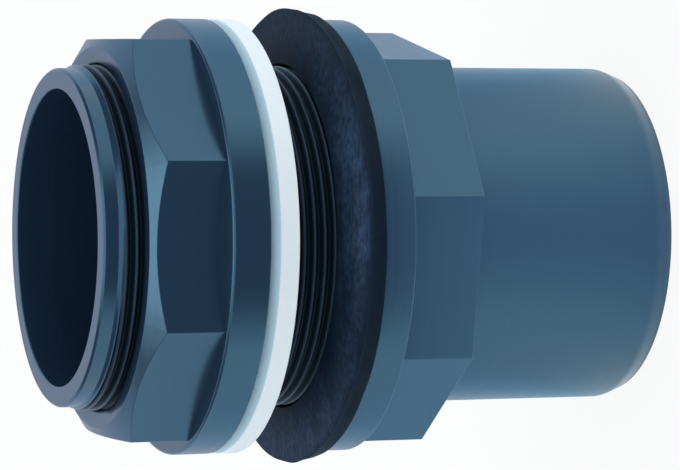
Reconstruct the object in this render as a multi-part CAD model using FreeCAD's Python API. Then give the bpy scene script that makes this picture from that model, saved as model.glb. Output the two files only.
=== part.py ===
"""Tank connector for solvent-welded pipe.

A moulded body with a threaded tube goes through a hole in a tank's wall. The wall is clamped between
a gasket on the body's flange and a washer under a flanged octagonal nut. Sizes are in millimetres.
The origin is the centre of the spigot's end face, and +Z runs along the bore to the threaded end.
"""
import FreeCAD
import Part
import math
import os

# Bore: a pipe socket at each end, with a stop between them
SOCKET_D = 63.2
SOCKET_DEPTH = 37.5
SOCKET_STOP_STEP = 3.1
MOUTH_CHAMFER_RADIAL = 0.95
MOUTH_CHAMFER_LENGTH = 1.0

# Plain spigot
SPIGOT_WALL = 5.9
SPIGOT_LENGTH = 48.2
SPIGOT_CHAMFER_RADIAL = 1.45
SPIGOT_CHAMFER_LENGTH = 3.6

# Octagonal collar, turned as it stands in the mould
COLLAR_STEP = 5.34
COLLAR_HEIGHT = 16.5
COLLAR_TURN_DEG = 9.75

# Sealing flange, just wider than the collar's corners
FLANGE_MARGIN = 1.5
FLANGE_HEIGHT = 7.4

# Threaded tube, drawn to the thread's crests, and the smooth pilot at its tip
THREAD_WALL = 5.992
THREAD_LENGTH = 54.7
THREAD_LEAD_LENGTH = 1.2
PILOT_STEP = 0.85
PILOT_LENGTH = 3.3
PILOT_CHAMFER = 0.5

# Gasket on the flange
GASKET_THICKNESS = 4.1
GASKET_OVERHANG = 2.75
GASKET_GAP = 0.3

# Space left for the tank's wall
WALL_SPACE = 14.6

# Washer under the nut, as wide as the nut's flange
WASHER_THICKNESS = 6.3
WASHER_GAP = 0.4

# Nut: a round flange and an octagonal grip with a conical front
NUT_RUNNING_GAP = 0.3
NUT_WALL = 5.18
NUT_FLANGE_MARGIN = 1.13
NUT_FLANGE_HEIGHT = 8.4
NUT_GRIP_HEIGHT = 16.1
NUT_FRONT_INSET = 1.67
NUT_FRONT_ANGLE_DEG = 33.0
NUT_BORE_CHAMFER = 0.4
NUT_TURN_DEG = -2.95

# Rounded edges of the mouldings
GRIP_EDGE_ROUND = 0.6
RIM_EDGE_ROUND = 0.6

# Radii, worked out from the bore outwards
OCTAGON_SIDES = 8
CORNER_RATIO = 1 / math.cos(math.pi / OCTAGON_SIDES)
SOCKET_R = SOCKET_D / 2
WATERWAY_R = SOCKET_R - SOCKET_STOP_STEP
MOUTH_R = SOCKET_R + MOUTH_CHAMFER_RADIAL
SPIGOT_R = SOCKET_R + SPIGOT_WALL
COLLAR_FLAT_R = SPIGOT_R + COLLAR_STEP
FLANGE_R = COLLAR_FLAT_R * CORNER_RATIO + FLANGE_MARGIN
THREAD_R = SOCKET_R + THREAD_WALL
PILOT_R = THREAD_R - PILOT_STEP
GASKET_R = FLANGE_R + GASKET_OVERHANG
NUT_BORE_R = THREAD_R + NUT_RUNNING_GAP
NUT_FLAT_R = NUT_BORE_R + NUT_WALL
NUT_FLANGE_R = NUT_FLAT_R * CORNER_RATIO + NUT_FLANGE_MARGIN
NUT_FRONT_R = NUT_FLAT_R - NUT_FRONT_INSET

# Heights, stacked from the spigot's end
COLLAR_Z = SPIGOT_LENGTH
FLANGE_Z = COLLAR_Z + COLLAR_HEIGHT
SEAT_Z = FLANGE_Z + FLANGE_HEIGHT
THREAD_END_Z = SEAT_Z + THREAD_LENGTH
TIP_Z = THREAD_END_Z + PILOT_LENGTH
WASHER_Z = SEAT_Z + GASKET_THICKNESS + WALL_SPACE
NUT_Z = WASHER_Z + WASHER_THICKNESS
NUT_GRIP_Z = NUT_Z + NUT_FLANGE_HEIGHT
NUT_FRONT_Z = NUT_GRIP_Z + NUT_GRIP_HEIGHT

AXIS = FreeCAD.Vector(0, 0, 1)


def turned(outline):
    """Solid of revolution about Z from a closed outline of (radius, height) points."""
    points = [FreeCAD.Vector(radius, 0, z) for radius, z in outline + outline[:1]]
    return Part.Face(Part.makePolygon(points)).revolve(FreeCAD.Vector(), AXIS, 360)


def cylinder(radius, z, height):
    return Part.makeCylinder(radius, height, FreeCAD.Vector(0, 0, z))


def rounded_disc(radius, z, height):
    """Disc with both rim edges rounded, never past a third of its height."""
    disc = cylinder(radius, z, height)
    rims = [edge for edge in disc.Edges if edge.isClosed()]
    return disc.makeFillet(min(RIM_EDGE_ROUND, height / 3), rims)


def octagon(flat_radius, z, height, turn_deg):
    """Octagonal prism with rounded corners; turn_deg is where one corner stands, from -Y towards +X."""
    corners = []
    for side in range(OCTAGON_SIDES):
        angle = math.radians(turn_deg - 90) + side * 2 * math.pi / OCTAGON_SIDES
        reach = flat_radius * CORNER_RATIO
        corners.append(FreeCAD.Vector(reach * math.cos(angle), reach * math.sin(angle), z))
    prism = Part.Face(Part.makePolygon(corners + corners[:1])).extrude(AXIS * height)
    uprights = [edge for edge in prism.Edges if abs(edge.tangentAt(edge.FirstParameter).z) > 0.9]
    return prism.makeFillet(GRIP_EDGE_ROUND, uprights)


def connector_body():
    spigot = turned([
        (0, 0),
        (SPIGOT_R - SPIGOT_CHAMFER_RADIAL, 0),
        (SPIGOT_R, SPIGOT_CHAMFER_LENGTH),
        (SPIGOT_R, COLLAR_Z),
        (0, COLLAR_Z),
    ])
    collar = octagon(COLLAR_FLAT_R, COLLAR_Z, COLLAR_HEIGHT, COLLAR_TURN_DEG)
    flange = rounded_disc(FLANGE_R, FLANGE_Z, FLANGE_HEIGHT)
    threaded_tube = turned([
        (0, SEAT_Z),
        (THREAD_R, SEAT_Z),
        (THREAD_R, THREAD_END_Z - THREAD_LEAD_LENGTH),
        (PILOT_R, THREAD_END_Z),
        (PILOT_R, TIP_Z - PILOT_CHAMFER),
        (PILOT_R - PILOT_CHAMFER, TIP_Z),
        (0, TIP_Z),
    ])
    bore = turned([
        (0, 0),
        (MOUTH_R, 0),
        (SOCKET_R, MOUTH_CHAMFER_LENGTH),
        (SOCKET_R, SOCKET_DEPTH),
        (WATERWAY_R, SOCKET_DEPTH),
        (WATERWAY_R, TIP_Z - SOCKET_DEPTH),
        (SOCKET_R, TIP_Z - SOCKET_DEPTH),
        (SOCKET_R, TIP_Z - MOUTH_CHAMFER_LENGTH),
        (MOUTH_R, TIP_Z),
        (0, TIP_Z),
    ])
    return spigot.fuse([collar, flange, threaded_tube]).cut(bore).removeSplitter()


def gasket():
    sheet = cylinder(GASKET_R, SEAT_Z, GASKET_THICKNESS)
    return sheet.cut(cylinder(THREAD_R + GASKET_GAP, SEAT_Z, GASKET_THICKNESS))


def slip_washer():
    ring = rounded_disc(NUT_FLANGE_R, WASHER_Z, WASHER_THICKNESS)
    return ring.cut(cylinder(THREAD_R + WASHER_GAP, WASHER_Z, WASHER_THICKNESS))


def backnut():
    flange = rounded_disc(NUT_FLANGE_R, NUT_Z, NUT_FLANGE_HEIGHT)
    corner_turn = NUT_TURN_DEG + 180 / OCTAGON_SIDES
    grip = octagon(NUT_FLAT_R, NUT_GRIP_Z, NUT_GRIP_HEIGHT, corner_turn)
    cone_drop = (NUT_FLANGE_R - NUT_FRONT_R) * math.tan(math.radians(NUT_FRONT_ANGLE_DEG))
    front_cone = turned([
        (0, NUT_Z),
        (NUT_FLANGE_R, NUT_Z),
        (NUT_FLANGE_R, NUT_FRONT_Z - cone_drop),
        (NUT_FRONT_R, NUT_FRONT_Z),
        (0, NUT_FRONT_Z),
    ])
    bore = turned([
        (0, NUT_Z),
        (NUT_BORE_R + NUT_BORE_CHAMFER, NUT_Z),
        (NUT_BORE_R, NUT_Z + NUT_BORE_CHAMFER),
        (NUT_BORE_R, NUT_FRONT_Z - NUT_BORE_CHAMFER),
        (NUT_BORE_R + NUT_BORE_CHAMFER, NUT_FRONT_Z),
        (0, NUT_FRONT_Z),
    ])
    return flange.fuse(grip.common(front_cone)).cut(bore).removeSplitter()


os.makedirs("parts", exist_ok=True)
for make_piece in (connector_body, gasket, slip_washer, backnut):
    piece = make_piece()
    piece.exportStep(f"parts/{make_piece.__name__}.step")
    print(make_piece.__name__, round(piece.Volume), "mm3, valid:", piece.isValid())
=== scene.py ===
"""Looks of a moulded PVC-U tank connector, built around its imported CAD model.

The sections follow the fitting as it is put together: body, gasket, washer and nut, then the studio.
Sizes are written in millimetres and become metres in the meshes; the floor, lamps and camera are placed in
metres. The frame is the CAD model's: the origin is the centre of the spigot's end face, and +Z runs along
the bore to the threaded end.
"""
import math
import random

import bpy
from mathutils import Matrix, Vector


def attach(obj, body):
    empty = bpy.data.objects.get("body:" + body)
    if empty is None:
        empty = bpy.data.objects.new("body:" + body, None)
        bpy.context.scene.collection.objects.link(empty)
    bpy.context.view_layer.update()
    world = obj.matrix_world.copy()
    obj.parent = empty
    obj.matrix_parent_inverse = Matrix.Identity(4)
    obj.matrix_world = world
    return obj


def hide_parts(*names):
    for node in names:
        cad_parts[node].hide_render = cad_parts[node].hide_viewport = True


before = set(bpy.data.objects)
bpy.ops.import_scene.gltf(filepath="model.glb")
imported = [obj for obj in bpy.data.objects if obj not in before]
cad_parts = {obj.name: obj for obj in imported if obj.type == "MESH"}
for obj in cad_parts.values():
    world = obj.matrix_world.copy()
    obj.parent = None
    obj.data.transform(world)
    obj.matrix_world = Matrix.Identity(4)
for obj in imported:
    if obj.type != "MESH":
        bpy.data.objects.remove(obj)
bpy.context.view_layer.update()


# Connector body: one PVC-U moulding. A plain spigot takes the pipe, an octagonal collar takes a wrench,
# a round flange carries the gasket, and the threaded tube goes through the tank's wall. The mould's
# round cavities were turned on a lathe, so those surfaces carry faint rings.
MM = 0.001
POINTS_ROUND = 192
OCTAGON_SIDES = 8
POINTS_PER_SIDE = POINTS_ROUND // OCTAGON_SIDES
POINTS_PER_CORNER = 7
ARC_STEPS = 4

SOCKET_R = 31.6
WATERWAY_R = 28.5
MOUTH_R = 32.25
SOCKET_DEPTH = 37.5
SPIGOT_R = 37.5
SPIGOT_END_R = 36.05
SPIGOT_LEAD = 3.6
COLLAR_Z = 48.2
COLLAR_FLAT_R = 42.84
COLLAR_CORNER_TURN = 9.75 / 360
FLANGE_Z = 64.7
FLANGE_R = 47.87
SEAT_Z = 72.1
PILOT_R = 36.742
PILOT_EDGE = 0.5
THREAD_END_Z = 126.8
TIP_Z = 130.1
CORNER_ROUND = 0.6
# From an edge to the first ring on the face beside it
SPIGOT_CLEAR = 1.5
COLLAR_CLEAR = 1.0
FLANGE_CLEAR = 0.9

# Pipe thread G 2 1/2: 11 turns to the inch. The crest height is that of one crest on the -Y side.
PITCH = 2.309
THREAD_CREST_R = 37.592
THREAD_DEPTH = 1.479
CREST_HEIGHT = 122.99
BODY_THREAD_TURNS = 23
ROWS_PER_PITCH = 12
THREAD_LEAD = 1.2
RUN_OUT_POWER = 8.0
WELD_DISTANCE = 0.002


def place(turn, radius, z):
    """Point in metres; a turn of 0 faces -Y and turns grow towards +X."""
    angle = turn * 2 * math.pi
    return radius * math.sin(angle) * MM, -radius * math.cos(angle) * MM, z * MM


def even_turns(corner_turn):
    """Evenly spaced turns, with one in the middle of the octagon's first corner."""
    first = corner_turn - POINTS_PER_CORNER // 2 / POINTS_ROUND
    return [first + index / POINTS_ROUND for index in range(POINTS_ROUND)]


def octagon(flat_radius, corner_turn):
    """Turns and radii of an octagon with rounded corners."""
    reach = (flat_radius - CORNER_ROUND) / math.cos(math.pi / OCTAGON_SIDES)
    turns, radii = [], []
    for side in range(OCTAGON_SIDES):
        corner = corner_turn + side / OCTAGON_SIDES
        line = []
        for index in range(POINTS_PER_CORNER):
            facing = corner + (index / (POINTS_PER_CORNER - 1) - 0.5) / OCTAGON_SIDES
            line.append(Vector(place(corner, reach, 0)) + Vector(place(facing, CORNER_ROUND, 0)))
        across = corner + 0.5 / OCTAGON_SIDES
        next_corner = corner + 1 / OCTAGON_SIDES
        flat_end = Vector(place(next_corner, reach, 0)) + Vector(place(across, CORNER_ROUND, 0))
        gaps = POINTS_PER_SIDE - POINTS_PER_CORNER + 1
        for index in range(1, gaps):
            line.append(line[POINTS_PER_CORNER - 1].lerp(flat_end, index / gaps))
        for point in line:
            turns.append(math.atan2(point.x, -point.y) / (2 * math.pi))
            radii.append(point.length / MM)
    return turns, radii


def rounded(outline):
    """Points (radius, height, worn) of an outline of (radius, height, edge round) corners.

    The outline runs with the plastic on its left. Proud edges are marked 1, for wear and a painted
    highlight, everything else 0.
    """
    points = []
    for index, (radius, z, edge_round) in enumerate(outline):
        if edge_round == 0:
            points.append((radius, z, 0.0))
            continue
        corner = Vector((radius, z))
        back = (Vector(outline[index - 1][:2]) - corner).normalized()
        ahead = (Vector(outline[index + 1][:2]) - corner).normalized()
        half = back.angle(ahead) / 2
        centre = corner + (back + ahead).normalized() * (edge_round / math.sin(half))
        start = corner + back * (edge_round / math.tan(half)) - centre
        end = corner + ahead * (edge_round / math.tan(half)) - centre
        proud = ahead.x * back.y - ahead.y * back.x > 0
        for step in range(ARC_STEPS + 1):
            spoke = start.slerp(end, step / ARC_STEPS).normalized() * edge_round
            on_edge = proud and 0 < step < ARC_STEPS
            points.append((centre.x + spoke.x, centre.y + spoke.y, float(on_edge)))
    return points


def round_rings(turns, outline):
    """Rings (points, worn), one for each point of the outline."""
    return [([place(turn, radius, z) for turn in turns], wear_dust_and_painted_light) for radius, z, wear_dust_and_painted_light in outline]


def skin(name, rings, closed=False):
    """Object with a skin from each ring to the next; the rings' mark, for wear, dust and painted light, is
    kept as an attribute.
    """
    points, wear_dust_and_painted_light, faces = [], [], []
    for ring_points, ring_mark in rings:
        points.extend(ring_points)
        wear_dust_and_painted_light.extend([ring_mark] * POINTS_ROUND)
    for ring in range(len(rings) if closed else len(rings) - 1):
        low, high = ring * POINTS_ROUND, (ring + 1) % len(rings) * POINTS_ROUND
        for index in range(POINTS_ROUND):
            follower = (index + 1) % POINTS_ROUND
            faces.append((low + index, low + follower, high + follower, high + index))
    mesh = bpy.data.meshes.new(name)
    mesh.from_pydata(points, [], faces)
    mesh.attributes.new("wear_dust_and_painted_light", "FLOAT", "POINT").data.foreach_set("value", wear_dust_and_painted_light)
    made = bpy.data.objects.new(name, mesh)
    bpy.context.scene.collection.objects.link(made)
    return made


body_turns = even_turns(COLLAR_CORNER_TURN)
# Each corner: radius, height and the round of its edge
bore_outline = rounded([
    (PILOT_R, THREAD_END_Z, 0),
    (PILOT_R, TIP_Z - PILOT_EDGE, 0.25),
    (PILOT_R - PILOT_EDGE, TIP_Z, 0.25),
    (MOUTH_R, TIP_Z, 0.35),
    (SOCKET_R, TIP_Z - SOCKET_DEPTH, 0.5),
    (WATERWAY_R, TIP_Z - SOCKET_DEPTH, 0.2),
    (WATERWAY_R, SOCKET_DEPTH, 0.2),
    (SOCKET_R, SOCKET_DEPTH, 0.5),
    (MOUTH_R, 0, 0.35),
    (SPIGOT_END_R, 0, 0.3),
    (SPIGOT_R, SPIGOT_LEAD, 4.0),
    (SPIGOT_R, COLLAR_Z, 0.5),
    (SPIGOT_R + SPIGOT_CLEAR, COLLAR_Z, 0),
])
collar_turns, collar_radii = octagon(COLLAR_FLAT_R, COLLAR_CORNER_TURN)
collar_outline = rounded([(-COLLAR_CLEAR, COLLAR_Z, 0), (0, COLLAR_Z, 0.3), (0, FLANGE_Z, 0)])
collar_rings = []
for inset, z, wear_dust_and_painted_light in collar_outline:
    outline = [place(turn, reach + inset, z) for turn, reach in zip(collar_turns, collar_radii)]
    collar_rings.append((outline, wear_dust_and_painted_light))
body_thread_foot = THREAD_END_Z - BODY_THREAD_TURNS * PITCH
flange_outline = rounded([
    (FLANGE_R - FLANGE_CLEAR, FLANGE_Z, 0),
    (FLANGE_R, FLANGE_Z, 0.5),
    (FLANGE_R, SEAT_Z, 0.5),
    (THREAD_CREST_R, SEAT_Z, 0),
    (THREAD_CREST_R, body_thread_foot, 0),
])
body_piece = skin("moulded_body", round_rings(body_turns, bore_outline) + collar_rings
                  + round_rings(body_turns, flange_outline))

# Moulded PVC-U: opaque and evenly grey through its depth, with a satin skin taken from the mould. The
# eye gets broad soft reflections, faint turned rings and edges a little lighter, partly rubbed and partly
# as a painted highlight.
PVC_GREY = "#1F334B"
PVC_GREY_DEEP = "#1B2D44"
# Rubbed edges, partly a painted highlight along them
PVC_RUBBED_AND_HIGHLIGHT = "#5A778F"
# Painted shade in the thread's grooves
PVC_GROOVE_PAINTED_SHADE = "#0D101A"
PVC_CREST = "#2D3848"
# Tint of all reflections: a painted cyan that stands in for cool light round the part
PVC_PAINTED_CYAN_SHEEN = "#9ADFFF"
PVC_RUB_AND_HIGHLIGHT_SHARE = 0.1
PVC_GROOVE_DULLING = 0.3


def linear(hex_colour):
    """Linear RGBA of an sRGB hex colour."""
    channels = [int(hex_colour[start:start + 2], 16) / 255 for start in (1, 3, 5)]
    return [c / 12.92 if c <= 0.04045 else ((c + 0.055) / 1.055) ** 2.4 for c in channels] + [1.0]


MATH = "ShaderNodeMath"


def add(tree, kind, inputs, **settings):
    """Adds one node; an input takes a value, or the socket or node (its first output) that feeds it."""
    made = tree.nodes.new(kind)
    for name, value in settings.items():
        setattr(made, name, value)
    for socket, value in inputs.items():
        if isinstance(value, bpy.types.Node):
            value = value.outputs[0]
        if isinstance(value, bpy.types.NodeSocket):
            tree.links.new(value, made.inputs[socket])
        else:
            made.inputs[socket].default_value = value
    return made


moulded_pvc = bpy.data.materials.new("moulded_pvc_u")
moulded_pvc.use_nodes = True
pvc = moulded_pvc.node_tree
pvc_shader = pvc.nodes["Principled BSDF"]
pvc_place = add(pvc, "ShaderNodeTexCoord", {}).outputs["Object"]
# Drifts of pigment about 25 mm across. A colour Mix takes its share at input 0 and its colours at 6 and 7,
# and gives its colour at output 2.
pvc_drift = add(pvc, "ShaderNodeTexNoise", {"Vector": pvc_place, "Scale": 1 / (25 * MM), "Detail": 3.0})
pvc_tone = add(pvc, "ShaderNodeMix", {
    0: pvc_drift, 6: linear(PVC_GREY_DEEP), 7: linear(PVC_GREY)}, data_type="RGBA", name="tone")
# Rubbed edges, lighter partly from wear and partly as a painted highlight, broken up every 2 mm or so
pvc_breaks = add(pvc, "ShaderNodeTexNoise", {"Vector": pvc_place, "Scale": 1 / (2 * MM), "Detail": 2.0})
pvc_edge_mark = add(pvc, "ShaderNodeAttribute", {}, attribute_name="wear_dust_and_painted_light")
pvc_rub_and_highlight = add(pvc, MATH, {0: pvc_edge_mark.outputs["Fac"], 1: pvc_breaks}, operation="MULTIPLY")
pvc_rub_and_highlight = add(pvc, MATH, {0: pvc_rub_and_highlight, 1: PVC_RUB_AND_HIGHLIGHT_SHARE}, operation="MULTIPLY")
pvc_colour = add(pvc, "ShaderNodeMix", {
    0: pvc_rub_and_highlight, 6: pvc_tone.outputs[2], 7: linear(PVC_RUBBED_AND_HIGHLIGHT)}, data_type="RGBA")
# Painted shade: where a thread is cut, its grooves are darkened, the deeper the darker, for the shade that
# falls in them
pvc_cut = add(pvc, "ShaderNodeAttribute", {}, attribute_name="cut_depth")
pvc_groove = add(pvc, "ShaderNodeMapRange", {
    "Value": pvc_cut.outputs["Fac"], "From Min": 0.08, "From Max": 0.4})
pvc_colour = add(pvc, "ShaderNodeMix", {
    0: pvc_groove, 6: pvc_colour.outputs[2], 7: linear(PVC_GROOVE_PAINTED_SHADE)}, data_type="RGBA")
# Turning marks of the mould, about 1 mm apart along the axis and drawn out round it
pvc_along = add(pvc, "ShaderNodeMapping", {"Vector": pvc_place, "Scale": (9.0, 9.0, 1 / MM)})
pvc_marks = add(pvc, "ShaderNodeTexNoise", {"Vector": pvc_along, "Scale": 1.0, "Detail": 2.0})
pvc_skin = add(pvc, "ShaderNodeMapRange", {"Value": pvc_marks, "To Min": 0.20, "To Max": 0.30})
pvc_rough = add(pvc, MATH, {0: pvc_groove, 1: PVC_GROOVE_DULLING, 2: pvc_skin}, operation="MULTIPLY_ADD")
pvc_bump = add(pvc, "ShaderNodeBump", {"Height": pvc_marks, "Strength": 0.35, "Distance": 0.03 * MM})
pvc.links.new(pvc_colour.outputs[2], pvc_shader.inputs["Base Color"])
pvc.links.new(pvc_rough.outputs[0], pvc_shader.inputs["Roughness"])
pvc.links.new(pvc_bump.outputs[0], pvc_shader.inputs["Normal"])
pvc_shader.inputs["IOR"].default_value = 1.64
pvc_shader.inputs["Specular IOR Level"].default_value = 1.0
pvc_shader.inputs["Specular Tint"].default_value = linear(PVC_PAINTED_CYAN_SHEEN)

# Threaded PVC-U: the same plastic on the thread, which comes dull from the mould, in a plainer grey. Its
# grooves are darkened with painted shade, so the eye gets near black between thin grey lines.
threaded_pvc = moulded_pvc.copy()
threaded_pvc.name = "threaded_pvc_u"
threaded_pvc.node_tree.nodes["tone"].inputs[6].default_value = linear(PVC_CREST)
threaded_pvc.node_tree.nodes["tone"].inputs[7].default_value = linear(PVC_CREST)
threaded_pvc.node_tree.nodes["Principled BSDF"].inputs["Specular IOR Level"].default_value = 0.28

# Helical thread: a sheet of points wound round the axis so that its rows follow the helix. It starts and
# ends in a level circle, and the skin that comes in is welded to those two circles.
thread_tree = bpy.data.node_groups.new("helical_thread", "GeometryNodeTree")
thread_tree.is_modifier = True
thread_tree.interface.new_socket("Skin", in_out="INPUT", socket_type="NodeSocketGeometry")
for size_name in ("Pitch", "Crest Radius", "Depth", "Foot Height", "Turns", "End Radius", "Foot Radius",
                  "End Lead", "Foot Lead", "Crest Height", "Start Turn"):
    thread_tree.interface.new_socket(size_name, in_out="INPUT", socket_type="NodeSocketFloat")
thread_tree.interface.new_socket("Columns", in_out="INPUT", socket_type="NodeSocketInt")
thread_tree.interface.new_socket("Rows per Pitch", in_out="INPUT", socket_type="NodeSocketInt")
thread_tree.interface.new_socket("Inside", in_out="INPUT", socket_type="NodeSocketBool")
thread_tree.interface.new_socket("Material", in_out="INPUT", socket_type="NodeSocketMaterial")
thread_tree.interface.new_socket("Thread Material", in_out="INPUT", socket_type="NodeSocketMaterial")
thread_tree.interface.new_socket("Threaded", in_out="OUTPUT", socket_type="NodeSocketGeometry")
given = thread_tree.nodes.new("NodeGroupInput").outputs
# The sheet: one column more than the turn has, and one pitch of rows more than the thread is long
columns = add(thread_tree, MATH, {0: given["Columns"], 1: 1.0}, operation="ADD")
pitches = add(thread_tree, MATH, {0: given["Turns"], 1: 1.0}, operation="ADD")
rows = add(thread_tree, MATH, {0: pitches, 1: given["Rows per Pitch"], 2: 1.0}, operation="MULTIPLY_ADD")
sheet = add(thread_tree, "GeometryNodeMeshGrid", {
    "Size X": 1.0, "Size Y": 1.0, "Vertices X": columns, "Vertices Y": rows})
on_sheet = add(thread_tree, "GeometryNodeInputPosition", {})
spot = add(thread_tree, "ShaderNodeSeparateXYZ", {0: on_sheet})
turn = add(thread_tree, MATH, {0: spot.outputs["X"], 1: 0.5}, operation="ADD")
up_sheet = add(thread_tree, MATH, {0: spot.outputs["Y"], 1: 0.5}, operation="ADD")
row = add(thread_tree, MATH, {0: up_sheet, 1: pitches, 2: -1.0}, operation="MULTIPLY_ADD")
# Height in pitches: wedges of rows open out from the foot circle and close up to the end circle
full = add(thread_tree, MATH, {0: given["Turns"], 1: 1.0}, operation="SUBTRACT")
above_foot = add(thread_tree, MATH, {0: row, 1: 0.0}, operation="MAXIMUM")
middle = add(thread_tree, MATH, {0: above_foot, 1: full}, operation="MINIMUM")
below_foot = add(thread_tree, MATH, {0: row, 1: 0.0}, operation="MINIMUM")
opening = add(thread_tree, MATH, {0: below_foot, 1: turn, 2: turn}, operation="MULTIPLY_ADD")
past_full = add(thread_tree, MATH, {0: row, 1: middle}, operation="SUBTRACT")
past_full = add(thread_tree, MATH, {0: past_full, 1: 0.0}, operation="MAXIMUM")
left_of_turn = add(thread_tree, MATH, {0: 1.0, 1: turn}, operation="SUBTRACT")
closing = add(thread_tree, MATH, {0: past_full, 1: left_of_turn, 2: middle}, operation="MULTIPLY_ADD")
climb = add(thread_tree, MATH, {0: opening, 1: closing}, operation="ADD")
height = add(thread_tree, MATH, {
    0: climb, 1: given["Pitch"], 2: given["Foot Height"]}, operation="MULTIPLY_ADD")
# Groove: a wave as deep as the thread, whose flanks and rounded crests come close to the 55 degree form
whole_turn = add(thread_tree, MATH, {0: turn, 1: given["Start Turn"]}, operation="ADD")
from_crest = add(thread_tree, MATH, {0: height, 1: given["Crest Height"]}, operation="SUBTRACT")
from_crest = add(thread_tree, MATH, {0: from_crest, 1: given["Pitch"]}, operation="DIVIDE")
phase = add(thread_tree, MATH, {0: from_crest, 1: whole_turn}, operation="SUBTRACT")
phase = add(thread_tree, MATH, {0: phase, 1: 2 * math.pi}, operation="MULTIPLY")
wave = add(thread_tree, MATH, {0: phase}, operation="COSINE")
groove = add(thread_tree, MATH, {0: wave, 1: -0.5, 2: 0.5}, operation="MULTIPLY_ADD")
# Leads: the groove runs out and the radius changes over a short length at both ends
end_height = add(thread_tree, MATH, {
    0: given["Turns"], 1: given["Pitch"], 2: given["Foot Height"]}, operation="MULTIPLY_ADD")
to_end = add(thread_tree, MATH, {0: end_height, 1: height}, operation="SUBTRACT")
end_in = add(thread_tree, MATH, {0: to_end, 1: given["End Lead"]}, operation="DIVIDE", use_clamp=True)
to_foot = add(thread_tree, MATH, {0: height, 1: given["Foot Height"]}, operation="SUBTRACT")
foot_in = add(thread_tree, MATH, {0: to_foot, 1: given["Foot Lead"]}, operation="DIVIDE", use_clamp=True)
from_end = add(thread_tree, "ShaderNodeMix", {0: end_in, 2: given["End Radius"], 3: given["Crest Radius"]})
crest = add(thread_tree, "ShaderNodeMix", {0: foot_in, 2: given["Foot Radius"], 3: from_end})
run_out = add(thread_tree, MATH, {0: end_in, 1: RUN_OUT_POWER}, operation="POWER")
run_out = add(thread_tree, MATH, {0: run_out, 1: foot_in}, operation="MULTIPLY")
cut = add(thread_tree, MATH, {0: groove, 1: run_out}, operation="MULTIPLY")
depth = add(thread_tree, MATH, {0: cut, 1: given["Depth"]}, operation="MULTIPLY")
radius = add(thread_tree, MATH, {0: crest, 1: depth}, operation="SUBTRACT")
# From turn, radius and height to a point, as place() does it
angle = add(thread_tree, MATH, {0: whole_turn, 1: 2 * math.pi}, operation="MULTIPLY")
sine = add(thread_tree, MATH, {0: angle}, operation="SINE")
cosine = add(thread_tree, MATH, {0: angle}, operation="COSINE")
point_x = add(thread_tree, MATH, {0: radius, 1: sine}, operation="MULTIPLY")
point_y = add(thread_tree, MATH, {0: radius, 1: cosine}, operation="MULTIPLY")
point_y = add(thread_tree, MATH, {0: point_y, 1: -1.0}, operation="MULTIPLY")
point = add(thread_tree, "ShaderNodeCombineXYZ", {0: point_x, 1: point_y, 2: height})
# How deep in the groove each point lies, and whether it is on the thread or on one of its leads. On an
# inside thread the groove is where the wave stands back.
hollow = add(thread_tree, MATH, {0: groove, 1: given["Inside"]}, operation="SUBTRACT")
hollow = add(thread_tree, MATH, {0: hollow}, operation="ABSOLUTE")
hollow = add(thread_tree, MATH, {0: hollow, 1: run_out}, operation="MULTIPLY")
marked = add(thread_tree, "GeometryNodeStoreNamedAttribute", {
    "Geometry": sheet, "Name": "cut_depth", "Value": hollow})
marked = add(thread_tree, "GeometryNodeStoreNamedAttribute", {
    "Geometry": marked, "Name": "threaded", "Value": run_out})
wound = add(thread_tree, "GeometryNodeSetPosition", {"Geometry": marked, "Position": point})
turned_in = add(thread_tree, "GeometryNodeFlipFaces", {"Mesh": wound, "Selection": given["Inside"]})
joined = add(thread_tree, "GeometryNodeJoinGeometry", {0: given["Skin"]})
thread_tree.links.new(turned_in.outputs[0], joined.inputs[0])
welded = add(thread_tree, "GeometryNodeMergeByDistance", {
    "Geometry": joined, "Distance": WELD_DISTANCE * MM})
realized = add(thread_tree, "GeometryNodeRealizeInstances", {0: welded})
moulded = add(thread_tree, "GeometryNodeSetMaterial", {
    "Geometry": realized, "Material": given["Material"]})
thread_mark = add(thread_tree, "GeometryNodeInputNamedAttribute", {"Name": "threaded"})
on_thread = add(thread_tree, MATH, {
    0: thread_mark.outputs["Attribute"], 1: 0.5}, operation="GREATER_THAN")
finished = add(thread_tree, "GeometryNodeSetMaterial", {
    "Geometry": moulded, "Selection": on_thread, "Material": given["Thread Material"]})
add(thread_tree, "NodeGroupOutput", {0: finished})


def cut_thread(piece, sizes):
    """Winds the thread's sheet into the gap in the piece's skin and keeps the result as a plain mesh."""
    cutter = piece.modifiers.new("thread", "NODES")
    cutter.node_group = thread_tree
    for item in thread_tree.interface.items_tree:
        if item.name in sizes:
            cutter[item.identifier] = sizes[item.name]
    bare_skin = piece.data
    seen = piece.evaluated_get(bpy.context.evaluated_depsgraph_get())
    piece.data = bpy.data.meshes.new_from_object(seen)
    piece.modifiers.remove(cutter)
    bpy.data.meshes.remove(bare_skin)


SHARP_ANGLE = math.radians(70)


def smooth(piece):
    """Smooth shading that keeps the flats flat and the few unrounded edges sharp."""
    piece.data.shade_smooth()
    piece.data.set_sharp_from_angle(angle=SHARP_ANGLE)
    flats = piece.modifiers.new("flats", "WEIGHTED_NORMAL")
    flats.keep_sharp = True


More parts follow.
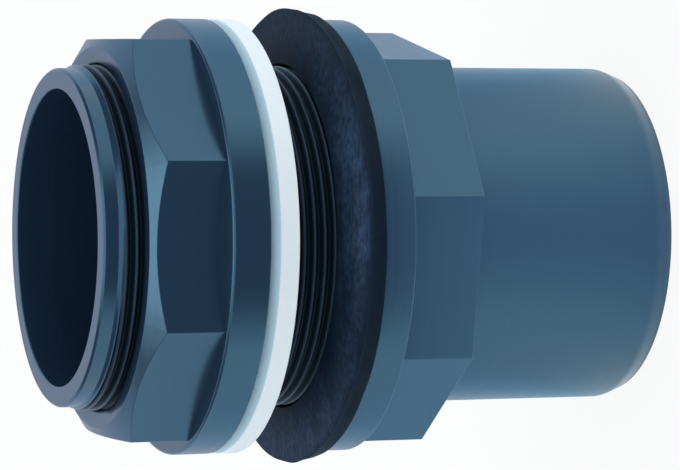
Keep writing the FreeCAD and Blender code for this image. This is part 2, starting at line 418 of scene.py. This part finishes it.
cut_thread(body_piece, {
    "Pitch": PITCH * MM, "Crest Radius": THREAD_CREST_R * MM, "Depth": THREAD_DEPTH * MM,
    "Foot Height": body_thread_foot * MM, "Turns": float(BODY_THREAD_TURNS),
    "End Radius": PILOT_R * MM, "Foot Radius": THREAD_CREST_R * MM,
    "End Lead": THREAD_LEAD * MM, "Foot Lead": THREAD_LEAD * MM,
    "Crest Height": CREST_HEIGHT * MM, "Start Turn": body_turns[0],
    "Columns": POINTS_ROUND, "Rows per Pitch": ROWS_PER_PITCH, "Inside": False,
    "Material": moulded_pvc, "Thread Material": threaded_pvc,
})
smooth(body_piece)
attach(body_piece, "body")
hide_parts("connector_body")


# Gasket: a ring die-cut from black EPDM sheet, pushed down the thread onto the flange. Its tight hole
# dishes the face and the rim curls up at the back. The knife leaves the rim undercut and not quite round,
# and handling leaves pale dust on the face.
GASKET_TOP_Z = 76.2
GASKET_R = 50.62
GASKET_HOLE_R = 37.892
GASKET_UNDERCUT = 0.9
GASKET_DISH = 2.9
GASKET_CURL = 3.0
EPDM_BLACK = "#0C1424"
EPDM_DUST = "#5C789E"
DUST_BAND_GAP = 70
DUST_BAND_X = -25
DUST_MEAN = 0.62
DUST_SWING = 0.28

cut_random = random.Random(11)
cut_waves = [(waves, depth, cut_random.random() * 2 * math.pi)
             for waves, depth in ((3, 0.10), (5, 0.10), (9, 0.07), (14, 0.06), (22, 0.05), (31, 0.03))]
gasket_turns = even_turns(0)
rim_wander = [sum(depth * math.sin(2 * math.pi * waves * turn + start) for waves, depth, start in cut_waves)
              for turn in gasket_turns]
rim_wander = [wander - max(rim_wander) for wander in rim_wander]
# Radius, height, share of the rim's wander and curl, and dust
gasket_outline = [
    (GASKET_HOLE_R, SEAT_Z, 0, 0),
    (FLANGE_R, SEAT_Z, 0, 0),
    (GASKET_R - GASKET_UNDERCUT - 0.15, SEAT_Z, 1, 0),
    (GASKET_R - GASKET_UNDERCUT, SEAT_Z + 0.15, 1, 0),
    (GASKET_R - 0.75 * GASKET_UNDERCUT, (SEAT_Z + GASKET_TOP_Z) / 2 - 0.8, 1, 0.03),
    (GASKET_R - 0.45 * GASKET_UNDERCUT, (SEAT_Z + GASKET_TOP_Z) / 2 + 0.8, 1, 0.03),
    (GASKET_R, GASKET_TOP_Z - 0.25, 1, 0.15),
    (GASKET_R - 0.3, GASKET_TOP_Z, 1, 0.45),
    (GASKET_R - 1.8, GASKET_TOP_Z + 0.25, 0.8, 0.7),
    (GASKET_R - 4.5, GASKET_TOP_Z + 0.85, 0.4, 0.8),
    (GASKET_HOLE_R + 3.5, GASKET_TOP_Z + 2.05, 0, 0.5),
    (GASKET_HOLE_R + 0.3, GASKET_TOP_Z + GASKET_DISH, 0, 0.3),
    (GASKET_HOLE_R, GASKET_TOP_Z + GASKET_DISH - 0.3, 0, 0),
]
gasket_rings = []
for radius_here, z, on_rim, dusty in gasket_outline:
    outline = []
    for turn_here, wander in zip(gasket_turns, rim_wander):
        curl = GASKET_CURL * (1 - math.cos(2 * math.pi * turn_here)) / 2
        outline.append(place(turn_here, radius_here + wander * on_rim, z + curl * on_rim))
    gasket_rings.append((outline, dusty))
gasket_piece = skin("die_cut_gasket", gasket_rings, closed=True)

# EPDM sheet: matt black rubber with a fine calendered grain. Talc and dust catch in patches, which the
# eye reads as dull grey smudges on the face.
epdm_sheet = bpy.data.materials.new("die_cut_epdm")
epdm_sheet.use_nodes = True
epdm = epdm_sheet.node_tree
epdm_shader = epdm.nodes["Principled BSDF"]
epdm_place = add(epdm, "ShaderNodeTexCoord", {}).outputs["Object"]
# Smudges about 7 mm across, wiped out along X, with grain of about 1 mm in them; the rings' mark says where
# dust lies
epdm_wiped = add(epdm, "ShaderNodeMapping", {"Vector": epdm_place, "Scale": (0.6, 1.0, 1.0)})
epdm_smudge = add(epdm, "ShaderNodeTexNoise", {
    "Vector": epdm_wiped, "Scale": 1 / (7 * MM), "Detail": 5.0, "Roughness": 0.7})
epdm_patch = add(epdm, "ShaderNodeMapRange", {
    "Value": epdm_smudge, "From Min": 0.33, "From Max": 0.68, "To Min": 0.3, "To Max": 1.0})
epdm_grain = add(epdm, "ShaderNodeTexNoise", {"Vector": epdm_wiped, "Scale": 1 / MM, "Detail": 2.0})
epdm_speck = add(epdm, "ShaderNodeMapRange", {
    "Value": epdm_grain, "From Min": 0.35, "From Max": 0.68, "To Min": 0.45, "To Max": 1.0})
epdm_dust = add(epdm, MATH, {0: epdm_patch, 1: epdm_speck}, operation="MULTIPLY")
epdm_dust_mark = add(epdm, "ShaderNodeAttribute", {}, attribute_name="wear_dust_and_painted_light")
epdm_dust = add(epdm, MATH, {0: epdm_dust, 1: epdm_dust_mark.outputs["Fac"]}, operation="MULTIPLY")
# The dust is thinner and thicker in broad bands, one after another along X
epdm_across = add(epdm, "ShaderNodeSeparateXYZ", {0: epdm_place})
epdm_bands = add(epdm, MATH, {0: epdm_across.outputs["X"], 1: DUST_BAND_X * MM}, operation="SUBTRACT")
epdm_bands = add(epdm, MATH, {0: epdm_bands, 1: 2 * math.pi / (DUST_BAND_GAP * MM)}, operation="MULTIPLY")
epdm_bands = add(epdm, MATH, {0: epdm_bands}, operation="COSINE")
epdm_bands = add(epdm, MATH, {0: epdm_bands, 1: -DUST_SWING, 2: DUST_MEAN}, operation="MULTIPLY_ADD")
epdm_dust = add(epdm, MATH, {0: epdm_dust, 1: epdm_bands}, operation="MULTIPLY")
epdm_colour = add(epdm, "ShaderNodeMix", {
    0: epdm_dust, 6: linear(EPDM_BLACK), 7: linear(EPDM_DUST)}, data_type="RGBA")
epdm_rough = add(epdm, "ShaderNodeMapRange", {"Value": epdm_patch, "To Min": 0.55, "To Max": 0.8})
epdm_bump = add(epdm, "ShaderNodeBump", {"Height": epdm_grain, "Strength": 0.3, "Distance": 0.05 * MM})
epdm.links.new(epdm_colour.outputs[2], epdm_shader.inputs["Base Color"])
epdm.links.new(epdm_rough.outputs[0], epdm_shader.inputs["Roughness"])
epdm.links.new(epdm_bump.outputs[0], epdm_shader.inputs["Normal"])
epdm_shader.inputs["IOR"].default_value = 1.5
epdm_shader.inputs["Specular IOR Level"].default_value = 0.18
# The rubber's reflections take the same painted cyan tint
epdm_shader.inputs["Specular Tint"].default_value = linear(PVC_PAINTED_CYAN_SHEEN)

gasket_piece.data.materials.append(epdm_sheet)
smooth(gasket_piece)
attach(gasket_piece, "body")
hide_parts("gasket")


# Slip washer: a white polyethylene ring that lets the nut turn without dragging on the tank's wall. Its
# edge towards the nut is moulded with a bevel, and the other is nearly sharp.
WASHER_Z = 90.8
WASHER_TOP_Z = 97.1
WASHER_R = 47.74
WASHER_HOLE_R = 37.992
WASHER_BEVEL = 2.2
WASHER_HOLE_STEP = 2.5
PE_WHITE = "#F3F9FB"
PE_SHADE = "#E8F1F5"
# Painted shade and blue reflection on the bevel towards the nut
PE_BEVEL_PAINTED_SHADE = "#C6E2EE"

washer_outline = rounded([
    (WASHER_HOLE_R, WASHER_Z + WASHER_HOLE_STEP, 0),
    (WASHER_HOLE_R, WASHER_Z, 0.3),
    (WASHER_R, WASHER_Z, 0.35),
    (WASHER_R, WASHER_TOP_Z - WASHER_BEVEL, 0.8),
    (WASHER_R - WASHER_BEVEL, WASHER_TOP_Z, 0.3),
    (WASHER_HOLE_R, WASHER_TOP_Z, 0.4),
    (WASHER_HOLE_R, WASHER_TOP_Z - WASHER_HOLE_STEP, 0),
])
# The bevel towards the nut is marked for its painted shade and reflection
washer_outline = [(r, z, float(z > WASHER_TOP_Z - WASHER_BEVEL and r > WASHER_R - WASHER_BEVEL))
                  for r, z, _ in washer_outline]
washer_piece = skin("polyethylene_washer", round_rings(even_turns(0), washer_outline), closed=True)

# Moulded polyethylene: waxy, with light spreading about 1 mm under its skin. The eye gets a soft pale ring
# with a dull gloss.
washer_pe = bpy.data.materials.new("white_polyethylene")
washer_pe.use_nodes = True
pe = washer_pe.node_tree
pe_shader = pe.nodes["Principled BSDF"]
pe_place = add(pe, "ShaderNodeTexCoord", {}).outputs["Object"]
# Cloudiness about 15 mm across
pe_cloud = add(pe, "ShaderNodeTexNoise", {"Vector": pe_place, "Scale": 1 / (15 * MM), "Detail": 2.0})
pe_colour = add(pe, "ShaderNodeMix", {
    0: pe_cloud, 6: linear(PE_SHADE), 7: linear(PE_WHITE)}, data_type="RGBA")
# Painted shade and reflection: the bevel is tinted a darker blue-grey for the shade beside the nut and the
# nut's colour reflected in it
pe_bevel_mark = add(pe, "ShaderNodeAttribute", {}, attribute_name="wear_dust_and_painted_light")
pe_colour = add(pe, "ShaderNodeMix", {
    0: pe_bevel_mark.outputs["Fac"], 6: pe_colour.outputs[2], 7: linear(PE_BEVEL_PAINTED_SHADE)}, data_type="RGBA")
# Turning marks about 0.8 mm apart
pe_along = add(pe, "ShaderNodeMapping", {"Vector": pe_place, "Scale": (9.0, 9.0, 1 / (0.8 * MM))})
pe_marks = add(pe, "ShaderNodeTexNoise", {"Vector": pe_along, "Scale": 1.0, "Detail": 2.0})
pe_rough = add(pe, "ShaderNodeMapRange", {"Value": pe_marks, "To Min": 0.42, "To Max": 0.58})
pe_bump = add(pe, "ShaderNodeBump", {"Height": pe_marks, "Strength": 0.2, "Distance": 0.04 * MM})
pe.links.new(pe_colour.outputs[2], pe_shader.inputs["Base Color"])
pe.links.new(pe_rough.outputs[0], pe_shader.inputs["Roughness"])
pe.links.new(pe_bump.outputs[0], pe_shader.inputs["Normal"])
pe_shader.inputs["IOR"].default_value = 1.51
pe_shader.inputs["Subsurface Weight"].default_value = 0.4
pe_shader.inputs["Subsurface Radius"].default_value = (1.0, 1.0, 1.0)
pe_shader.inputs["Subsurface Scale"].default_value = MM

washer_piece.data.materials.append(washer_pe)
smooth(washer_piece)
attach(washer_piece, "washer")
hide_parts("slip_washer")


# Backnut: a PVC-U moulding like the body. An octagonal grip stands on a round flange, and a cone turned
# across its front scallops the flats. It runs on the body's thread and presses the washer to the wall.
NUT_Z = 97.1
NUT_GRIP_Z = 105.5
NUT_FRONT_Z = 121.6
NUT_FLANGE_R = 47.74
NUT_FLAT_R = 43.07
NUT_FRONT_R = 41.40
NUT_FRONT_SLOPE = math.radians(33)
NUT_CORNER_TURN = (22.5 - 2.95) / 360
NUT_SCALLOP_ROUND = 0.2
# The arms only give an outline its direction beside the edge that is rounded
NUT_SCALLOP_ARM = 2.0
NUT_FRONT_ARM = 0.6
NUT_FRONT_CLEAR = 0.8
NUT_MOUTH_R = 38.29
NUT_THREAD_TURNS = 10
THREAD_PLAY = 0.12
NUT_THREAD_R = THREAD_CREST_R + THREAD_PLAY
# Shallow enough for the nut to pass over the tip of the body
NUT_THREAD_DEPTH = 0.44

nut_turns = even_turns(NUT_CORNER_TURN)
grip_turns, grip_radii = octagon(NUT_FLAT_R, NUT_CORNER_TURN)
nut_mouth = (NUT_FRONT_Z - NUT_Z - NUT_THREAD_TURNS * PITCH) / 2
nut_thread_foot = NUT_Z + nut_mouth
nut_flange_outline = rounded([
    (NUT_THREAD_R, nut_thread_foot, 0),
    (NUT_MOUTH_R, NUT_Z, 0),
    (NUT_FLANGE_R, NUT_Z, 0.2),
    (NUT_FLANGE_R, NUT_GRIP_Z, 0.8),
    (NUT_FLANGE_R - FLANGE_CLEAR, NUT_GRIP_Z, 0),
])
nut_rings = round_rings(nut_turns, nut_flange_outline)
nut_rings.append(([place(turn_here, r, NUT_GRIP_Z) for turn_here, r in zip(grip_turns, grip_radii)], 0.0))
scallop_outline = rounded([
    (0, -NUT_SCALLOP_ARM, 0),
    (0, 0, NUT_SCALLOP_ROUND),
    (-NUT_SCALLOP_ARM, NUT_SCALLOP_ARM * math.tan(NUT_FRONT_SLOPE), 0),
])
for inset, lift, wear_dust_and_painted_light in scallop_outline[1:-1]:
    outline = []
    for turn_here, r in zip(grip_turns, grip_radii):
        edge_z = NUT_FRONT_Z - (r - NUT_FRONT_R) * math.tan(NUT_FRONT_SLOPE)
        outline.append(place(turn_here, r + inset, edge_z + lift))
    nut_rings.append((outline, wear_dust_and_painted_light))
nut_front_outline = rounded([
    (NUT_FRONT_R + NUT_FRONT_ARM, NUT_FRONT_Z - NUT_FRONT_ARM * math.tan(NUT_FRONT_SLOPE), 0),
    (NUT_FRONT_R, NUT_FRONT_Z, 0.4),
    (NUT_FRONT_R - NUT_FRONT_CLEAR, NUT_FRONT_Z, 0),
])
nut_rings += round_rings(grip_turns, nut_front_outline[1:])
nut_rings += round_rings(nut_turns, [
    (NUT_MOUTH_R, NUT_FRONT_Z, 0.0),
    (NUT_THREAD_R, NUT_FRONT_Z - nut_mouth, 0.0),
])
nut_piece = skin("flanged_backnut", nut_rings)
cut_thread(nut_piece, {
    "Pitch": PITCH * MM, "Crest Radius": NUT_THREAD_R * MM, "Depth": NUT_THREAD_DEPTH * MM,
    "Foot Height": nut_thread_foot * MM, "Turns": float(NUT_THREAD_TURNS),
    "End Radius": NUT_THREAD_R * MM, "Foot Radius": NUT_THREAD_R * MM,
    "End Lead": THREAD_LEAD * MM, "Foot Lead": THREAD_LEAD * MM,
    "Crest Height": CREST_HEIGHT * MM, "Start Turn": nut_turns[0],
    "Columns": POINTS_ROUND, "Rows per Pitch": ROWS_PER_PITCH, "Inside": True,
    "Material": moulded_pvc, "Thread Material": threaded_pvc,
})
smooth(nut_piece)
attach(nut_piece, "nut")
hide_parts("backnut")


# Studio: the part stands on a white sweep between two soft boxes, with a large one overhead. Glowing panels
# stand round it, which only reflections see.
FLOOR_REACH = 4
FLOOR_WHITE = "#F4F5F6"
FLOOR_SHADE_SHARE = 0.10
ROOM_LIGHT = (0.70, 0.74, 0.78, 1)
PANEL_DARK = "#4A4D55"
PANEL_BLUE = "#ABD1E7"
PANEL_WHITE = "#FFFFFF"
PANEL_PALE = "#EAF3F8"
PANEL_GREY = "#CFD3E7"
PANEL_BACK = "#BFC4D6"
PANEL_GLOW = 1.25

floor_mesh = bpy.data.meshes.new("floor")
floor_corners = [(x * FLOOR_REACH, y * FLOOR_REACH, 0) for x, y in ((-1, -1), (1, -1), (1, 1), (-1, 1))]
floor_mesh.from_pydata(floor_corners, [], [(0, 1, 2, 3)])
floor = bpy.data.objects.new("floor", floor_mesh)
bpy.context.scene.collection.objects.link(floor)
# White sweep: lit as paper is, but the lens and reflections see it as mostly plain white with a soft
# shadow, except inside the bore
paper = bpy.data.materials.new("white_sweep")
paper.use_nodes = True
paper_tree = paper.node_tree
paper_tree.nodes.remove(paper_tree.nodes["Principled BSDF"])
paper_lit = add(paper_tree, "ShaderNodeBsdfDiffuse", {"Color": linear(FLOOR_WHITE)})
paper_white = add(paper_tree, "ShaderNodeEmission", {"Color": (1, 1, 1, 1), "Strength": 1.0})
paper_seen = add(paper_tree, "ShaderNodeMixShader", {0: FLOOR_SHADE_SHARE, 1: paper_white, 2: paper_lit})
ray = add(paper_tree, "ShaderNodeLightPath", {}).outputs
ray_seen = add(paper_tree, MATH, {0: ray["Is Camera Ray"], 1: ray["Is Glossy Ray"]}, operation="MAXIMUM")
ray_seen = add(paper_tree, MATH, {0: ray_seen, 1: ray["Is Transmission Ray"]}, operation="MAXIMUM")
paper_place = add(paper_tree, "ShaderNodeTexCoord", {}).outputs["Object"]
paper_reach = add(paper_tree, "ShaderNodeVectorMath", {0: paper_place}, operation="LENGTH")
paper_open = add(paper_tree, MATH, {
    0: paper_reach.outputs["Value"], 1: SPIGOT_END_R * MM}, operation="GREATER_THAN")
ray_seen = add(paper_tree, MATH, {0: ray_seen, 1: paper_open}, operation="MULTIPLY")
paper_mix = add(paper_tree, "ShaderNodeMixShader", {0: ray_seen, 1: paper_lit, 2: paper_seen})
paper_tree.links.new(paper_mix.outputs[0], paper_tree.nodes["Material Output"].inputs["Surface"])
floor_mesh.materials.append(paper)

# Panels: low in front, dark with pale ends; high at the sides, dark; behind, grey with blue ends; and on
# the floor a ring, grey in front and behind, with pale and blue between. Each is a line between two points
# (reach, height), swept round the axis from one colour stop (degrees from the front, colour) to the next.
PANEL_STEPS = 12
for panel_name, panel_line, panel_stops in (
        ("front_panel", [(220, 1), (220, 150)], [
            (-54, PANEL_PALE), (-30, PANEL_DARK), (30, PANEL_DARK), (54, PANEL_WHITE)]),
        ("left_panel", [(430, 215), (330, 620)], [(-130, PANEL_DARK), (-50, PANEL_DARK)]),
        ("right_panel", [(430, 215), (330, 620)], [(50, PANEL_DARK), (130, PANEL_DARK)]),
        ("back_panel", [(420, 1), (420, 460)], [
            (120, PANEL_BLUE), (160, PANEL_BACK), (200, PANEL_BACK), (240, PANEL_BLUE)]),
        ("floor_panel", [(36.4, 1), (420, 1)], [
            (-180, PANEL_BACK), (-160, PANEL_BACK), (-120, PANEL_BLUE), (-104, PANEL_BLUE),
            (-66, PANEL_PALE), (-44, PANEL_PALE), (-10, PANEL_GREY),
            (10, PANEL_GREY), (46, PANEL_WHITE), (64, PANEL_WHITE),
            (104, PANEL_BLUE), (120, PANEL_BLUE), (160, PANEL_BACK), (180, PANEL_BACK)])):
    panel_points, panel_colours, panel_faces = [], [], []
    for stop, (degrees, colour) in enumerate(panel_stops):
        next_degrees, next_colour = panel_stops[min(stop + 1, len(panel_stops) - 1)]
        for step in range(PANEL_STEPS if stop < len(panel_stops) - 1 else 1):
            share = step / PANEL_STEPS
            panel_turn = (degrees + (next_degrees - degrees) * share) / 360
            panel_points += [place(panel_turn, reach, z) for reach, z in panel_line]
            glow = Vector(linear(colour)).lerp(Vector(linear(next_colour)), share)
            panel_colours += [*glow, *glow]
    for low in range(0, len(panel_points) - 2, 2):
        panel_faces.append((low, low + 2, low + 3, low + 1))
    panel_mesh = bpy.data.meshes.new(panel_name)
    panel_mesh.from_pydata(panel_points, [], panel_faces)
    panel_mesh.attributes.new("glow", "FLOAT_COLOR", "POINT").data.foreach_set("color", panel_colours)
    panel = bpy.data.objects.new(panel_name, panel_mesh)
    panel.visible_camera = False
    panel.visible_shadow = False
    panel.visible_diffuse = False
    bpy.context.scene.collection.objects.link(panel)
    panel_glow = bpy.data.materials.new(panel_name)
    panel_glow.use_nodes = True
    panel_shader = panel_glow.node_tree.nodes["Principled BSDF"]
    panel_shader.inputs["Base Color"].default_value = (0, 0, 0, 1)
    panel_shader.inputs["Specular IOR Level"].default_value = 0.0
    panel_tone = add(panel_glow.node_tree, "ShaderNodeAttribute", {}, attribute_name="glow")
    panel_glow.node_tree.links.new(panel_tone.outputs["Color"], panel_shader.inputs["Emission Color"])
    panel_shader.inputs["Emission Strength"].default_value = PANEL_GLOW
    panel_mesh.materials.append(panel_glow)

# Lamps: all three aim at the middle of the part, and only the one overhead shows in reflections
LAMP_AIM = Vector((0, 0, 0.07))
LAMP_COOL = (0.92, 0.96, 1.0)
for lamp_name, lamp_place, lamp_size, lamp_watts in (
        ("soft_box_left", (-0.62, 0.0, 0.12), (0.70, 0.24), 0.3),
        ("soft_box_right", (0.62, 0.0, 0.12), (0.70, 0.24), 1.0),
        ("soft_box_top", (0, 0.06, 0.95), (0.60, 0.60), 1.7)):
    lamp = bpy.data.lights.new(lamp_name, "AREA")
    lamp.shape = "RECTANGLE"
    lamp.size, lamp.size_y = lamp_size
    lamp.energy = lamp_watts
    lamp.color = LAMP_COOL
    lamp_object = bpy.data.objects.new(lamp_name, lamp)
    lamp_object.location = lamp_place
    lamp_object.rotation_mode = "QUATERNION"
    lamp_object.rotation_quaternion = (LAMP_AIM - Vector(lamp_place)).to_track_quat("-Z", "Y")
    lamp_object.visible_camera = False
    lamp_object.visible_glossy = lamp_name == "soft_box_top"
    bpy.context.scene.collection.objects.link(lamp_object)

# Room: a cool grey light from all round, which the lens and reflections see as white
world = bpy.data.worlds.new("studio")
bpy.context.scene.world = world
world.use_nodes = True
room = world.node_tree
room_ray = add(room, "ShaderNodeLightPath", {}).outputs
room_seen = add(room, MATH, {
    0: room_ray["Is Camera Ray"], 1: room_ray["Is Glossy Ray"]}, operation="MAXIMUM")
room_seen = add(room, MATH, {0: room_seen, 1: room_ray["Is Transmission Ray"]}, operation="MAXIMUM")
room_colour = add(room, "ShaderNodeMix", {0: room_seen, 6: ROOM_LIGHT, 7: (1, 1, 1, 1)}, data_type="RGBA")
room.links.new(room_colour.outputs[2], room.nodes["Background"].inputs["Color"])

# Camera: 20 degrees above the part, turned so that the axis lies across the picture with the thread left
CAMERA_RISE = math.radians(20.311)
CAMERA_DISTANCE = 0.779243
CAMERA_AIM = Vector((0, 0, 0.06437))
CAMERA_TILT = math.radians(-0.552)
CAMERA_LENS = 184.9
camera_data = bpy.data.cameras.new("camera")
camera_data.lens = CAMERA_LENS
camera_data.sensor_width = 36
camera = bpy.data.objects.new("camera", camera_data)
camera_back = Vector((0, -math.cos(CAMERA_RISE), math.sin(CAMERA_RISE)))
picture_right = Vector((0, -math.sin(CAMERA_RISE), -math.cos(CAMERA_RISE)))
picture_up = Vector((1, 0, 0))
tilted_right = picture_right * math.cos(CAMERA_TILT) + picture_up * math.sin(CAMERA_TILT)
tilted_up = picture_up * math.cos(CAMERA_TILT) - picture_right * math.sin(CAMERA_TILT)
camera_turn = Matrix((tilted_right, tilted_up, camera_back)).transposed()
camera.matrix_world = Matrix.Translation(CAMERA_AIM + camera_back * CAMERA_DISTANCE) @ camera_turn.to_4x4()
bpy.context.scene.collection.objects.link(camera)
bpy.context.scene.camera = camera
bpy.context.scene.view_settings.view_transform = "Standard"
